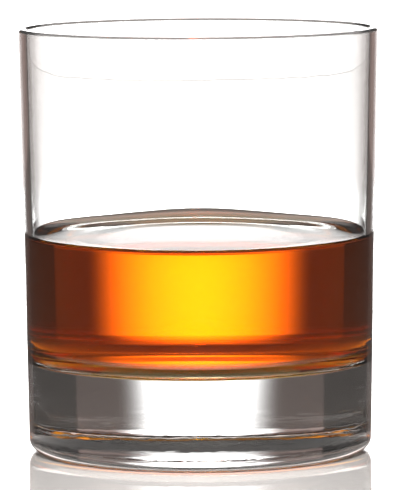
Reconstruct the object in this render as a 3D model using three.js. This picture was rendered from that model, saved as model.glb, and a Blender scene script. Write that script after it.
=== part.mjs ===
import * as THREE from 'three';

// A round rocks tumbler with a heavy clear base, holding a measure of bourbon.
// Millimetres, +Z up, origin on the table under the middle of the foot.
// The back of the glass is towards +Y, the front towards -Y.

// Driving dimensions of the glass
const HEIGHT = 95;
const FOOT_RADIUS = 38.6;
const MOUTH_RADIUS = 40.3;
const WALL_AT_MOUTH = 1.8;
const WALL_AT_FLOOR = 2.0;
const FLOOR_HEIGHT = 19.9;
const FLOOR_CORNER = 4.0;
const FOOT_CORNER = 2.8;
const CONTACT_RING_INNER = 30.0;
const RECESS_DEPTH = 1.2;
const RECESS_SAG = 0.9;
const RECESS_SLOPE_WIDTH = 2.4;
const LIP_CROWN = 0.6;

// Driving dimensions of the drink
const DRINK_LEVEL = 48.2;
const DRINK_CLEARANCE = 0.3;
const MENISCUS_RISE_FRONT = 0.9;
const MENISCUS_RISE_BACK = 2.1;
const MENISCUS_REACH = 1.8;
const ROCKING_RISE = 0.5;
const WALL_WAVE_DEPTH = 0.32;
const WALL_WAVE_LOBES = 5;
const WALL_WAVE_POWER = 8;
const RING_WAVE_HEIGHT = 0.1;
const RING_WAVE_DISTANCE = 12;
const RING_WAVE_WIDTH = 3.5;

// How finely the round shapes are cut
const SEGMENTS_ROUND = 80;
const CORNER_STEPS = 6;
const LIP_STEPS = 8;
const SAG_STEPS = 4;
const SLOPE_STEPS = 4;
const SAME_HEIGHT = 0.001;

// Points of a round stretch of an outline, both ends included; a rise other than the radius
// makes it a flatter, oval stretch
function arc(centreRadius, centreHeight, radius, fromDegrees, toDegrees, steps, rise = radius) {
  const points = [];
  for (let i = 0; i <= steps; i++) {
    const angle = THREE.MathUtils.degToRad(THREE.MathUtils.lerp(fromDegrees, toDegrees, i / steps));
    points.push(new THREE.Vector2(
      centreRadius + radius * Math.cos(angle),
      centreHeight + rise * Math.sin(angle),
    ));
  }
  return points;
}

// A solid of revolution about +Z from an outline that starts and ends on the axis,
// running outwards underneath, up the outside and back to the axis on top
function turned(outline) {
  return new THREE.LatheGeometry(outline, SEGMENTS_ROUND).rotateX(Math.PI / 2);
}

// The side tapers evenly from the foot up to the mouth
function outerRadius(height) {
  return THREE.MathUtils.lerp(FOOT_RADIUS, MOUTH_RADIUS, height / HEIGHT);
}

function innerRadius(height) {
  const share = (height - FLOOR_HEIGHT) / (HEIGHT - FLOOR_HEIGHT);
  return outerRadius(height) - THREE.MathUtils.lerp(WALL_AT_FLOOR, WALL_AT_MOUTH, share);
}

// Underneath, the glass stands on a ring round a shallow recess whose middle sags a little
function tumblerOutline() {
  const lipHeight = HEIGHT - LIP_CROWN;
  const lipCentre = (outerRadius(lipHeight) + innerRadius(lipHeight)) / 2;
  const footCentre = outerRadius(FOOT_CORNER) - FOOT_CORNER;
  const floorCornerTop = FLOOR_HEIGHT + FLOOR_CORNER;
  const floorCornerCentre = innerRadius(floorCornerTop) - FLOOR_CORNER;

  const recessRadius = CONTACT_RING_INNER - RECESS_SLOPE_WIDTH;
  const recess = [];
  for (let i = 0; i < SAG_STEPS; i++) {
    const share = i / SAG_STEPS;
    recess.push(new THREE.Vector2(recessRadius * share, RECESS_DEPTH - RECESS_SAG * (1 - share ** 2)));
  }
  for (let i = 0; i <= SLOPE_STEPS; i++) {
    const share = i / SLOPE_STEPS;
    recess.push(new THREE.Vector2(
      recessRadius + RECESS_SLOPE_WIDTH * share,
      RECESS_DEPTH * (1 - THREE.MathUtils.smoothstep(share, 0, 1)),
    ));
  }

  return [
    ...recess,
    ...arc(footCentre, FOOT_CORNER, FOOT_CORNER, -90, 0, CORNER_STEPS),
    ...arc(lipCentre, lipHeight, WALL_AT_MOUTH / 2, 0, 180, LIP_STEPS, LIP_CROWN),
    ...arc(floorCornerCentre, floorCornerTop, FLOOR_CORNER, 0, -90, CORNER_STEPS),
    new THREE.Vector2(0, FLOOR_HEIGHT),
  ];
}

// The drink climbs the wall in a meniscus, higher at the back because it still rocks in the
// glass, and carries low waves along the back wall and one ring inside it
const DRINK_RADIUS = innerRadius(DRINK_LEVEL + MENISCUS_RISE_BACK) - DRINK_CLEARANCE;

function drinkSurface(x, y) {
  const radius = Math.hypot(x, y);
  const fromWall = DRINK_RADIUS - radius;
  const azimuth = Math.atan2(x, y);
  const towardsBack = ((1 + Math.cos(azimuth)) / 2) ** 2;
  const rise = THREE.MathUtils.lerp(MENISCUS_RISE_FRONT, MENISCUS_RISE_BACK, towardsBack);
  const meniscus = rise * Math.exp(-fromWall / MENISCUS_REACH);
  const rocking = ROCKING_RISE * y / DRINK_RADIUS;
  const nearWall = (radius / DRINK_RADIUS) ** WALL_WAVE_POWER;
  const wallWave = WALL_WAVE_DEPTH * (Math.cos(WALL_WAVE_LOBES * azimuth) - 1) * towardsBack * nearWall;
  const ringWave = RING_WAVE_HEIGHT * towardsBack
    * Math.exp(-(((fromWall - RING_WAVE_DISTANCE) / RING_WAVE_WIDTH) ** 2));
  return DRINK_LEVEL + meniscus + rocking + wallWave + ringWave;
}

// Distances from the wall at which the surface of the drink has a ring of corners,
// close together where the meniscus bends
const SURFACE_RINGS = [0, 0.35, 0.9, 1.7, 3, 5, 8, 10, 12, 14, 18, 25];

function drinkGeometry() {
  const bottom = FLOOR_HEIGHT + DRINK_CLEARANCE;
  const corner = FLOOR_CORNER - DRINK_CLEARANCE;
  const sideRadius = innerRadius(bottom + corner) - DRINK_CLEARANCE;
  const outline = [
    new THREE.Vector2(0, bottom),
    ...arc(sideRadius - corner, bottom + corner, corner, -90, 0, CORNER_STEPS),
    ...SURFACE_RINGS.map((fromWall) => new THREE.Vector2(DRINK_RADIUS - fromWall, DRINK_LEVEL)),
    new THREE.Vector2(0, DRINK_LEVEL),
  ];
  const geometry = turned(outline);
  const corners = geometry.attributes.position;
  for (let i = 0; i < corners.count; i++) {
    if (Math.abs(corners.getZ(i) - DRINK_LEVEL) < SAME_HEIGHT) {
      corners.setZ(i, drinkSurface(corners.getX(i), corners.getY(i)));
    }
  }
  geometry.computeVertexNormals();
  return geometry;
}

const clearGlass = new THREE.MeshStandardMaterial({
  color: 0xeef2f1, roughness: 0.03, metalness: 0, transparent: true, opacity: 0.3, side: THREE.DoubleSide,
});
const amberDrink = new THREE.MeshStandardMaterial({
  color: 0xe08a08, roughness: 0.04, metalness: 0, transparent: true, opacity: 0.85,
});

const tumbler = new THREE.Mesh(turned(tumblerOutline()), clearGlass);
tumbler.name = 'tumbler';

const bourbon = new THREE.Mesh(drinkGeometry(), amberDrink);
bourbon.name = 'bourbon';

const glassOfBourbon = new THREE.Group();
glassOfBourbon.add(tumbler, bourbon);

export default glassOfBourbon;
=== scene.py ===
import math
from functools import partial

import bpy
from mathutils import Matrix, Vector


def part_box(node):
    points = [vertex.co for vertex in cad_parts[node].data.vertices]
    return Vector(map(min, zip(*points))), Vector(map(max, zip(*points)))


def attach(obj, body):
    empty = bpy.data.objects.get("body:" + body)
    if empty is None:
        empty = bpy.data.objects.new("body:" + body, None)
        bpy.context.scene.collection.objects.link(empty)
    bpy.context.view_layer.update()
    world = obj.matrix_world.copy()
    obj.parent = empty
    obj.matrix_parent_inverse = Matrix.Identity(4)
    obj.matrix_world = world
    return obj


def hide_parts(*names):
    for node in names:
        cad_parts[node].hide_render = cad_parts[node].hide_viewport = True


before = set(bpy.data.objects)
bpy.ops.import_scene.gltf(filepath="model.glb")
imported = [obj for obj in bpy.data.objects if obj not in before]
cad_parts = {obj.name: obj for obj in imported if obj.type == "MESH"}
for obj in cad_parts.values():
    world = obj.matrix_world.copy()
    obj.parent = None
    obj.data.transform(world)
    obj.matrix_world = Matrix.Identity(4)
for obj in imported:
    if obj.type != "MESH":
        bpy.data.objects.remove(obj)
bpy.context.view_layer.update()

# The tumbler. One piece of clear soda-lime glass: a straight, slightly tapered wall over a
# heavy solid base. It is pressed and blown in a mould, so the foot and the inner floor have
# soft corners, and the lip is fire-polished to a low, rounded crown.
MM = 0.001
foot_low, rim_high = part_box("tumbler")
glass_height = rim_high.z - foot_low.z
foot_radius = 38.6 * MM
mouth_radius = 40.3 * MM
wall_at_mouth = 1.8 * MM
wall_at_floor = 2.0 * MM
floor_height = 19.9 * MM
floor_corner = 4.0 * MM
foot_corner = 2.8 * MM
contact_ring_inner = 30.0 * MM
recess_depth = 1.2 * MM
recess_sag = 0.9 * MM
recess_slope_width = 2.4 * MM
lip_radius = wall_at_mouth / 2
lip_crown = 0.6 * MM
lip_height = glass_height - lip_crown
beside_arc = 0.2 * MM

sag_steps = 14
slope_steps = 10
wall_steps = 16
corner_steps = 20
lip_steps = 28
steps_round = 320
weld_distance = 0.001 * MM

glass_colour = (0.985, 0.993, 0.989, 1)
glass_ior = 1.52
lip_wear = 0.2
lip_wear_depth = 1.0 * MM
pressing_wave_scale = 55.0
pressing_wave_flatness = 0.6
pressing_wave_height = 0.02 * MM
heel_swirl_top = 13.0 * MM
heel_swirl_scale = 160.0
heel_swirl_flatness = 2.5
heel_swirl_height = 0.055 * MM
unevenness_detail = 2.0


def mix(low, high, share):
    return low + (high - low) * share


def smooth_step(share):
    return share * share * (3 - 2 * share)


def even_steps(start, end, steps):
    return [mix(start, end, i / steps) for i in range(steps + 1)]


# A round stretch of an outline, from one angle in degrees to another; a rise other than the
# radius makes it a flatter, oval one
def arc(centre, height, radius, start, end, steps, rise=None):
    rise = rise or radius
    angles = [math.radians(angle) for angle in even_steps(start, end, steps)]
    return [(centre + radius * math.cos(a), height + rise * math.sin(a)) for a in angles]


def outer_radius(height):
    return mix(foot_radius, mouth_radius, height / glass_height)


def inner_radius(height):
    share = (height - floor_height) / (glass_height - floor_height)
    return outer_radius(height) - mix(wall_at_floor, wall_at_mouth, share)


# A ring of corners close beside each end of an arc keeps the flat stretch next to it flat,
# because smooth shading would bend the light there
def tumbler_outline():
    foot_centre = outer_radius(foot_corner) - foot_corner
    corner_top = floor_height + floor_corner
    corner_centre = inner_radius(corner_top) - floor_corner
    lip_centre = (outer_radius(lip_height) + inner_radius(lip_height)) / 2
    recess_radius = contact_ring_inner - recess_slope_width
    sag_shares = [i / sag_steps for i in range(sag_steps)]
    outer_wall = even_steps(foot_corner + beside_arc, lip_height - beside_arc, wall_steps)
    inner_wall = even_steps(lip_height - beside_arc, corner_top + beside_arc, wall_steps)
    return [
        *[(recess_radius * share, recess_depth - recess_sag * (1 - share**2)) for share in sag_shares],
        *[(recess_radius + recess_slope_width * share, recess_depth * (1 - smooth_step(share)))
          for share in even_steps(0, 1, slope_steps)],
        (contact_ring_inner + beside_arc, 0.0),
        (foot_centre - beside_arc, 0.0),
        *arc(foot_centre, foot_corner, foot_corner, -90, 0, corner_steps),
        *[(outer_radius(z), z) for z in outer_wall],
        *arc(lip_centre, lip_height, lip_radius, 0, 180, lip_steps, lip_crown),
        *[(inner_radius(z), z) for z in inner_wall],
        *arc(corner_centre, corner_top, floor_corner, 0, -90, corner_steps),
        (corner_centre - beside_arc, floor_height),
        (0.0, floor_height),
    ]


def outline_object(name, outline):
    mesh = bpy.data.meshes.new(name)
    mesh.from_pydata([(radius, 0.0, height) for radius, height in outline],
                     [(i, i + 1) for i in range(len(outline) - 1)], [])
    piece = bpy.data.objects.new(name, mesh)
    bpy.context.scene.collection.objects.link(piece)
    return piece


def new_tree(name):
    tree = bpy.data.node_groups.new(name, "GeometryNodeTree")
    tree.interface.new_socket("Geometry", in_out="INPUT", socket_type="NodeSocketGeometry")
    tree.interface.new_socket("Geometry", in_out="OUTPUT", socket_type="NodeSocketGeometry")
    return tree


def tree_inputs(tree, kind, *names):
    for name in names:
        tree.interface.new_socket(name, in_out="INPUT", socket_type="NodeSocket" + kind)


# One step of arithmetic in a tree, on numbers or on the sockets of other nodes
def math_node(tree, operation, first, second=None):
    node = tree.nodes.new("ShaderNodeMath")
    node.operation = operation
    for socket, value in zip(node.inputs, (first, second)):
        if value is None:
            continue
        if isinstance(value, (int, float)):
            socket.default_value = value
        else:
            tree.links.new(value, socket)
    return node.outputs[0]


# Turns an outline about the upright axis, once round in even steps, and welds the seam and
# the two ends on the axis
def turning_tree():
    tree = new_tree("turned_outline")
    tree_inputs(tree, "Int", "Steps Round")
    nodes, link, calc = tree.nodes, tree.links.new, partial(math_node, tree)
    given = nodes.new("NodeGroupInput")
    size = nodes.new("GeometryNodeAttributeDomainSize")
    link(given.outputs["Geometry"], size.inputs["Geometry"])
    grid = nodes.new("GeometryNodeMeshGrid")
    grid.inputs["Size X"].default_value = 1.0
    grid.inputs["Size Y"].default_value = 1.0
    link(calc("ADD", given.outputs["Steps Round"], 1), grid.inputs["Vertices X"])
    link(size.outputs["Point Count"], grid.inputs["Vertices Y"])
    place = nodes.new("ShaderNodeSeparateXYZ")
    link(nodes.new("GeometryNodeInputPosition").outputs[0], place.inputs[0])
    turn = calc("MULTIPLY", calc("ADD", place.outputs["X"], 0.5), math.tau)
    last = calc("SUBTRACT", size.outputs["Point Count"], 1)
    along = calc("MULTIPLY", calc("ADD", place.outputs["Y"], 0.5), last)
    sample = nodes.new("GeometryNodeSampleIndex")
    sample.data_type = "FLOAT_VECTOR"
    link(given.outputs["Geometry"], sample.inputs["Geometry"])
    link(nodes.new("GeometryNodeInputPosition").outputs[0], sample.inputs["Value"])
    link(calc("ROUND", along), sample.inputs["Index"])
    rotate = nodes.new("ShaderNodeVectorRotate")
    rotate.rotation_type = "Z_AXIS"
    link(sample.outputs[0], rotate.inputs["Vector"])
    link(turn, rotate.inputs["Angle"])
    move = nodes.new("GeometryNodeSetPosition")
    link(grid.outputs["Mesh"], move.inputs["Geometry"])
    link(rotate.outputs[0], move.inputs["Position"])
    weld = nodes.new("GeometryNodeMergeByDistance")
    weld.inputs["Distance"].default_value = weld_distance
    link(move.outputs["Geometry"], weld.inputs["Geometry"])
    shade = nodes.new("GeometryNodeSetShadeSmooth")
    link(weld.outputs["Geometry"], shade.inputs["Geometry"])
    link(shade.outputs["Geometry"], nodes.new("NodeGroupOutput").inputs["Geometry"])
    return tree


turned_outline = turning_tree()


def turned_geometry(tree, given):
    turned = tree.nodes.new("GeometryNodeGroup")
    turned.node_tree = turned_outline
    for name in ("Geometry", "Steps Round"):
        tree.links.new(given.outputs[name], turned.inputs[name])
    return turned.outputs["Geometry"]


def finish_tree(tree, geometry, material):
    nodes, link = tree.nodes, tree.links.new
    real = nodes.new("GeometryNodeRealizeInstances")
    link(geometry, real.inputs["Geometry"])
    finish = nodes.new("GeometryNodeSetMaterial")
    link(real.outputs["Geometry"], finish.inputs["Geometry"])
    link(material, finish.inputs["Material"])
    link(finish.outputs["Geometry"], nodes.new("NodeGroupOutput").inputs["Geometry"])


def tumbler_tree():
    tree = new_tree("pressed_tumbler")
    tree_inputs(tree, "Int", "Steps Round")
    tree_inputs(tree, "Material", "Glass")
    given = tree.nodes.new("NodeGroupInput")
    finish_tree(tree, turned_geometry(tree, given), given.outputs["Glass"])
    return tree


# Runs a tree on an object with the given inputs and swaps in the plain mesh that it makes
def bake_tree(piece, tree, values):
    modifier = piece.modifiers.new(tree.name, "NODES")
    modifier.node_group = tree
    for item in tree.interface.items_tree:
        if item.item_type == "SOCKET" and item.in_out == "INPUT" and item.name in values:
            modifier[item.identifier] = values[item.name]
    graph = bpy.context.evaluated_depsgraph_get()
    made = bpy.data.meshes.new_from_object(piece.evaluated_get(graph))
    made.name = piece.name
    piece.modifiers.clear()
    piece.data = made


# A smooth change from one value to another while the input goes from start to end
def fade(tree, value, start, end, first=0.0, last=1.0):
    step = tree.nodes.new("ShaderNodeMapRange")
    step.interpolation_type = "SMOOTHSTEP"
    tree.links.new(value, step.inputs["Value"])
    step.inputs["From Min"].default_value = start
    step.inputs["From Max"].default_value = end
    step.inputs["To Min"].default_value = first
    step.inputs["To Max"].default_value = last
    return step.outputs[0]


def noise_height(tree, scale, flatness, height):
    nodes, link = tree.nodes, tree.links.new
    place = nodes.new("ShaderNodeMapping")
    place.inputs["Scale"].default_value = (1, 1, flatness)
    link(nodes.new("ShaderNodeTexCoord").outputs["Object"], place.inputs["Vector"])
    noise = nodes.new("ShaderNodeTexNoise")
    noise.inputs["Scale"].default_value = scale
    noise.inputs["Detail"].default_value = unevenness_detail
    link(place.outputs["Vector"], noise.inputs["Vector"])
    return math_node(tree, "MULTIPLY", noise.outputs["Fac"], height)


# Pressing leaves the faces a little wavy, and leaves swirls low down round the heel. The lip
# is touched most, so its fine wear scatters a little light.
def clear_glass_material():
    material = bpy.data.materials.new("clear_glass")
    material.use_nodes = True
    tree = material.node_tree
    nodes, link, calc = tree.nodes, tree.links.new, partial(math_node, tree)
    shader = nodes["Principled BSDF"]
    shader.inputs["Base Color"].default_value = glass_colour
    shader.inputs["Roughness"].default_value = 0.0
    shader.inputs["IOR"].default_value = glass_ior
    place = nodes.new("ShaderNodeSeparateXYZ")
    link(nodes.new("ShaderNodeTexCoord").outputs["Object"], place.inputs[0])
    height = place.outputs["Z"]
    clear_share = fade(tree, height, rim_high.z - lip_wear_depth, rim_high.z - lip_wear_depth / 2,
                       1.0, 1.0 - lip_wear)
    link(clear_share, shader.inputs["Transmission Weight"])
    near_heel = fade(tree, height, foot_low.z + heel_swirl_top, foot_low.z)
    heel_swirls = calc("MULTIPLY", near_heel, noise_height(
        tree, heel_swirl_scale, heel_swirl_flatness, heel_swirl_height))
    pressing_waves = noise_height(
        tree, pressing_wave_scale, pressing_wave_flatness, pressing_wave_height)
    bump = nodes.new("ShaderNodeBump")
    bump.inputs["Distance"].default_value = 1.0
    link(calc("ADD", heel_swirls, pressing_waves), bump.inputs["Height"])
    link(bump.outputs["Normal"], shader.inputs["Normal"])
    return material


clear_glass = clear_glass_material()
tumbler = outline_object("tumbler_glass", tumbler_outline())
bake_tree(tumbler, tumbler_tree(), {"Steps Round": steps_round, "Glass": clear_glass})
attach(tumbler, "root")
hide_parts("tumbler")

# The bourbon. Clear amber spirit that wets the glass: it climbs the wall in a meniscus, and
# it still rocks a little, so its edge stands higher at the back and carries low waves.
# It reaches a hair into the wall and the floor, so that no air shows between them.
drink_level = 48.2 * MM
drink_into_glass = 0.08 * MM
capillary_length = 1.8 * MM
meniscus_rise_front = 1.2 * MM
meniscus_rise_back = 2.1 * MM
rocking_rise = 0.5 * MM
wall_wave_depth = 0.32 * MM
wall_wave_lobes = 5.0
wall_wave_power = 8.0
ring_wave_height = 0.10 * MM
ring_wave_distance = 12.0 * MM
ring_wave_width = 3.5 * MM
contact_edge_angle = math.radians(30)
wetted_radius = inner_radius(drink_level + meniscus_rise_back)

drink_wall_steps = 10
climb_steps = 4
meniscus_steps = 26
meniscus_crowding = 1.6
calm_steps = 60
same_height = 0.01 * MM

drink_ior = 1.36
light_left_by_depth = (0.994, 0.806, 0.0, 1)
depth_density = 160.0


# How far from the wall the surface has a given rise: the shape that surface tension gives
# a liquid against an upright wall
def distance_at_rise(rise):
    reach = 2 * capillary_length

    def run(height):
        return capillary_length * math.acosh(reach / height) - math.sqrt(reach**2 - height**2)

    return run(rise) - run(meniscus_rise_back)


# The corners of the meniscus crowd together towards its calm end, and even steps over the
# calm surface leave room for the waves
def drink_outline():
    bottom = floor_height - drink_into_glass
    corner_top = floor_height + floor_corner
    corner = floor_corner + drink_into_glass
    corner_centre = inner_radius(corner_top) + drink_into_glass - corner
    wall = even_steps(corner_top + beside_arc, drink_level - beside_arc, drink_wall_steps)
    climb = even_steps(drink_level, drink_level + meniscus_rise_back, climb_steps)
    rises = [meniscus_rise_back * (1 - i / meniscus_steps) ** meniscus_crowding
             for i in range(meniscus_steps)]
    meniscus = [(wetted_radius - distance_at_rise(rise), drink_level + rise) for rise in rises]
    calm_radius = meniscus[-1][0]
    return [
        (0.0, bottom),
        (corner_centre - beside_arc, bottom),
        *arc(corner_centre, corner_top, corner, -90, 0, corner_steps),
        *[(inner_radius(z) + drink_into_glass, z) for z in wall + climb],
        *meniscus,
        *[(calm_radius * (1 - i / calm_steps), drink_level) for i in range(1, calm_steps)],
        (0.0, drink_level),
    ]


# Turns the outline and lifts its surface: by the rocking, by the lower meniscus in front and,
# towards the back, by the dips along the wall and the ring inside it
def drink_tree():
    tree = new_tree("poured_drink")
    tree_inputs(tree, "Int", "Steps Round")
    tree_inputs(tree, "Float", "Level", "Wall Radius", "Front Rise Share", "Rocking Rise",
                "Wall Wave Depth", "Wall Wave Lobes", "Wall Wave Power",
                "Ring Wave Height", "Ring Wave Distance", "Ring Wave Width", "Contact Edge Angle")
    tree_inputs(tree, "Material", "Drink")
    nodes, link, calc = tree.nodes, tree.links.new, partial(math_node, tree)
    given = nodes.new("NodeGroupInput")
    sizes = given.outputs
    place = nodes.new("ShaderNodeSeparateXYZ")
    link(nodes.new("GeometryNodeInputPosition").outputs[0], place.inputs[0])
    x, y, z = place.outputs
    radius = calc("SQRT", calc("ADD", calc("MULTIPLY", x, x), calc("MULTIPLY", y, y)))
    azimuth = calc("ARCTAN2", x, y)
    half = calc("MULTIPLY", calc("ADD", calc("COSINE", azimuth), 1), 0.5)
    towards_back = calc("POWER", half, 2)
    rocking = calc("MULTIPLY", sizes["Rocking Rise"], calc("DIVIDE", y, sizes["Wall Radius"]))
    lobes = calc("COSINE", calc("MULTIPLY", azimuth, sizes["Wall Wave Lobes"]))
    near_wall = calc("POWER", calc("DIVIDE", radius, sizes["Wall Radius"]), sizes["Wall Wave Power"])
    dips = calc("MULTIPLY", calc("SUBTRACT", lobes, 1), near_wall)
    wall_wave = calc("MULTIPLY", dips, sizes["Wall Wave Depth"])
    from_wall = calc("SUBTRACT", sizes["Wall Radius"], radius)
    off_ring = calc("DIVIDE", calc("SUBTRACT", from_wall, sizes["Ring Wave Distance"]),
                    sizes["Ring Wave Width"])
    bell = calc("EXPONENT", calc("MULTIPLY", calc("MULTIPLY", off_ring, off_ring), -1))
    ring_wave = calc("MULTIPLY", bell, sizes["Ring Wave Height"])
    waves = calc("MULTIPLY", calc("ADD", wall_wave, ring_wave), towards_back)
    climb = calc("MAXIMUM", calc("SUBTRACT", z, sizes["Level"]), 0)
    lower_in_front = calc("MULTIPLY", calc("SUBTRACT", 1, towards_back),
                          calc("SUBTRACT", sizes["Front Rise Share"], 1))
    rise = calc("ADD", calc("ADD", rocking, waves), calc("MULTIPLY", climb, lower_in_front))
    lift = nodes.new("ShaderNodeCombineXYZ")
    link(rise, lift.inputs["Z"])
    on_top = calc("GREATER_THAN", z, calc("SUBTRACT", sizes["Level"], same_height))
    move = nodes.new("GeometryNodeSetPosition")
    link(turned_geometry(tree, given), move.inputs["Geometry"])
    link(on_top, move.inputs["Selection"])
    link(lift.outputs[0], move.inputs["Offset"])
    crease = nodes.new("GeometryNodeSetShadeSmooth")
    crease.domain = "EDGE"
    crease.inputs["Shade Smooth"].default_value = False
    link(move.outputs["Geometry"], crease.inputs["Geometry"])
    edge_angle = nodes.new("GeometryNodeInputMeshEdgeAngle").outputs[0]
    link(calc("GREATER_THAN", edge_angle, sizes["Contact Edge Angle"]), crease.inputs["Selection"])
    finish_tree(tree, crease.outputs["Geometry"], sizes["Drink"])
    return tree


# The colour is all in the depth: the longer the way of the light, the more blue and green go
def bourbon_material():
    material = bpy.data.materials.new("bourbon")
    material.use_nodes = True
    nodes, link = material.node_tree.nodes, material.node_tree.links.new
    shader = nodes["Principled BSDF"]
    shader.inputs["Base Color"].default_value = (1, 1, 1, 1)
    shader.inputs["Roughness"].default_value = 0.0
    shader.inputs["IOR"].default_value = drink_ior
    shader.inputs["Transmission Weight"].default_value = 1.0
    depth = nodes.new("ShaderNodeVolumeAbsorption")
    depth.inputs["Color"].default_value = light_left_by_depth
    depth.inputs["Density"].default_value = depth_density
    link(depth.outputs["Volume"], nodes["Material Output"].inputs["Volume"])
    return material


bourbon_finish = bourbon_material()
bourbon = outline_object("bourbon_drink", drink_outline())
bake_tree(bourbon, drink_tree(), {
    "Steps Round": steps_round,
    "Level": drink_level,
    "Wall Radius": wetted_radius,
    "Front Rise Share": meniscus_rise_front / meniscus_rise_back,
    "Rocking Rise": rocking_rise,
    "Wall Wave Depth": wall_wave_depth,
    "Wall Wave Lobes": wall_wave_lobes,
    "Wall Wave Power": wall_wave_power,
    "Ring Wave Height": ring_wave_height,
    "Ring Wave Distance": ring_wave_distance,
    "Ring Wave Width": ring_wave_width,
    "Contact Edge Angle": contact_edge_angle,
    "Drink": bourbon_finish,
})
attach(bourbon, "root")
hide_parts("bourbon")

# The floor. A wide sheet of pale grey acrylic under a clear polish, on the studio table. It
# isn't part of the object; seen at a low angle it mirrors the strip lights behind the glass.
floor_half = 3.5
floor_gap = 0.1 * MM
floor_top = foot_low.z - floor_gap
floor_colour = (0.66, 0.62, 0.59, 1)
floor_ior = 1.5
polish_roughness = 0.05


def floor_material():
    material = bpy.data.materials.new("pale_floor")
    material.use_nodes = True
    shader = material.node_tree.nodes["Principled BSDF"]
    shader.inputs["Base Color"].default_value = floor_colour
    shader.inputs["Roughness"].default_value = polish_roughness
    shader.inputs["IOR"].default_value = floor_ior
    shader.inputs["Coat Weight"].default_value = 1.0
    shader.inputs["Coat Roughness"].default_value = polish_roughness
    return material


floor_mesh = bpy.data.meshes.new("studio_floor")
floor_mesh.from_pydata([(-floor_half, -floor_half, floor_top), (floor_half, -floor_half, floor_top),
                        (floor_half, floor_half, floor_top), (-floor_half, floor_half, floor_top)],
                       [], [(0, 1, 2, 3)])
floor_mesh.materials.append(floor_material())
studio_floor = bpy.data.objects.new("studio_floor", floor_mesh)
bpy.context.scene.collection.objects.link(studio_floor)

# The studio light. Soft strip lights stand above each other behind the glass, each brightest
# in its middle. The strongest is the one that the polished floor mirrors into the drink. A
# band of soft light runs all round the studio above them.
strips_distance = 1.2
strips_width = 1.6
strip_end_fade = 0.05
side_tint = (1.0, 0.7, 0.63)


# A strip light stands from low to high. Its middle has one light at the lower edge and one at
# the upper, fades from bright_half to faded_half on both sides, the faster the higher the
# power, and leaves the light of its dim and slightly warm sides.
def strip_light(name, low, high, light_low, light_high, side_light, bright_half, faded_half, power=1.0):
    lamp = bpy.data.lights.new(name, "AREA")
    lamp.shape = "RECTANGLE"
    lamp.size = strips_width
    lamp.size_y = high - low
    lamp.energy = math.pi * strips_width * (high - low)
    lamp.use_nodes = True
    tree = lamp.node_tree
    nodes, link, calc = tree.nodes, tree.links.new, partial(math_node, tree)
    place = nodes.new("ShaderNodeSeparateXYZ")
    link(nodes.new("ShaderNodeNewGeometry").outputs["Parametric"], place.inputs[0])
    off_middle = calc("ABSOLUTE", calc("SUBTRACT", place.outputs["X"], 0.5))
    across = calc("MULTIPLY", off_middle, strips_width)
    bright = calc("POWER", fade(tree, across, bright_half, faded_half, 1.0, 0.0), power)
    middle = calc("ADD", light_high, calc("MULTIPLY", place.outputs["Y"], light_low - light_high))
    white = calc("MULTIPLY", middle, bright)
    unended = fade(tree, across, strips_width / 2 - strip_end_fade, strips_width / 2, 1.0, 0.0)
    sides = calc("MULTIPLY", unended, side_light)
    colour = nodes.new("ShaderNodeCombineColor")
    for socket, tint in zip(colour.inputs, side_tint):
        link(calc("ADD", white, calc("MULTIPLY", sides, tint)), socket)
    link(colour.outputs[0], nodes["Emission"].inputs["Color"])
    holder = bpy.data.objects.new(name, lamp)
    holder.location = (0, strips_distance, foot_low.z + (low + high) / 2)
    holder.rotation_euler = (-math.pi / 2, 0, 0)
    holder.visible_camera = True
    bpy.context.scene.collection.objects.link(holder)


strip_light("low_strip", low=0.0, high=0.065, light_low=1.36, light_high=1.9,
            side_light=0.27, bright_half=0.22, faded_half=0.45)
strip_light("bright_strip", low=0.065, high=0.116, light_low=11.6, light_high=11.6,
            side_light=0.1, bright_half=0.0, faded_half=0.48, power=1.5)
strip_light("middle_strip", low=0.116, high=0.165, light_low=8.8, light_high=5.4,
            side_light=0.07, bright_half=0.0, faded_half=0.44, power=1.8)
strip_light("wide_strip", low=0.165, high=0.206, light_low=4.8, light_high=2.3,
            side_light=0.18, bright_half=0.0, faded_half=0.4, power=1.5)
strip_light("top_strip", low=0.206, high=0.250, light_low=1.8, light_high=0.4,
            side_light=0.07, bright_half=0.1, faded_half=0.4)

# Angles are in degrees above the floor. How far behind the glass a direction points goes from
# 0 at its sides to 1 straight behind it.
glow_low_angle = 10.0
glow_full_angle = 16.0
glow_falling_angle = 24.0
glow_high_angle = 40.0
glow_higher_behind = 11.0
glow_light = 1.2
glow_light_behind = 1.1
glow_behind_start = 0.3
glow_behind_full = 0.8
sky_light = 0.2
sky_light_behind = 0.1
low_light = 0.02
glow_colour = (1.0, 0.94, 0.91, 1)


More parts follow.
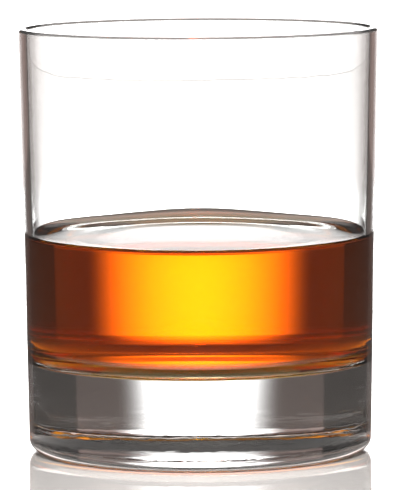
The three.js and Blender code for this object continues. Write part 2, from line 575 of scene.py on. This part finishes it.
# The glow grows from the low light at the floor to its full light, and falls to the light of
# the sky higher up. Behind the strips all of it starts higher.
def world_light():
    world = bpy.data.worlds.new("studio_light")
    bpy.context.scene.world = world
    world.use_nodes = True
    tree = world.node_tree
    nodes, link, calc = tree.nodes, tree.links.new, partial(math_node, tree)

    def blend(first, last, share):
        return calc("ADD", first, calc("MULTIPLY", share, calc("SUBTRACT", last, first)))

    place = nodes.new("ShaderNodeSeparateXYZ")
    link(nodes.new("ShaderNodeTexCoord").outputs["Generated"], place.inputs[0])
    behind = fade(tree, place.outputs["Y"], glow_behind_start, glow_behind_full)
    angle = calc("MULTIPLY", calc("ARCSINE", place.outputs["Z"]), math.degrees(1))
    elevation = calc("SUBTRACT", angle, calc("MULTIPLY", behind, glow_higher_behind))
    glow = blend(glow_light, glow_light_behind, behind)
    sky = blend(sky_light, sky_light_behind, behind)
    falling = fade(tree, elevation, glow_falling_angle, glow_high_angle)
    rising = fade(tree, elevation, glow_low_angle, glow_full_angle)
    link(blend(low_light, blend(glow, sky, falling), rising), nodes["Background"].inputs["Strength"])
    nodes["Background"].inputs["Color"].default_value = glow_colour


world_light()

# A small lamp above the front of the glass lights the floor just in front of the foot
pool_lamp_forward = 0.5
pool_lamp_height = 0.55
pool_lamp_radius = 0.06
pool_lamp_power = 100.0
pool_lamp_colour = (0.97, 0.99, 1.0)
pool_lamp_angle = math.radians(13)
pool_forward = 0.065
pool_lamp = bpy.data.lights.new("pool_lamp", "SPOT")
pool_lamp.energy = pool_lamp_power
pool_lamp.color = pool_lamp_colour
pool_lamp.spot_size = pool_lamp_angle
pool_lamp.spot_blend = 1.0
pool_lamp.shadow_soft_size = pool_lamp_radius
pool_holder = bpy.data.objects.new("pool_lamp", pool_lamp)
pool_holder.location = (0, -pool_lamp_forward, foot_low.z + pool_lamp_height)
pool_holder.rotation_euler = (math.atan2(pool_lamp_forward - pool_forward, pool_lamp_height), 0, 0)
bpy.context.scene.collection.objects.link(pool_holder)

# The camera. A long lens a metre away, which looks down on the glass by about six degrees
# and leans a little, as the photograph does.
camera_distance = 0.988
camera_height = 0.149
aim_height = 0.0460
aim_side = 0.00076
camera_roll = math.radians(0.33)
focal_length = 324.2
sensor_width = 36.0

camera = bpy.data.cameras.new("camera")
camera.lens = focal_length
camera.sensor_width = sensor_width
camera_holder = bpy.data.objects.new("camera", camera)
bpy.context.scene.collection.objects.link(camera_holder)
camera_holder.location = (0, -camera_distance, camera_height)
pitch = math.atan2(camera_height - aim_height, camera_distance)
camera_holder.rotation_euler = (math.pi / 2 - pitch, camera_roll, -aim_side / camera_distance)
bpy.context.scene.camera = camera_holder
bpy.context.scene.view_settings.view_transform = "Standard"
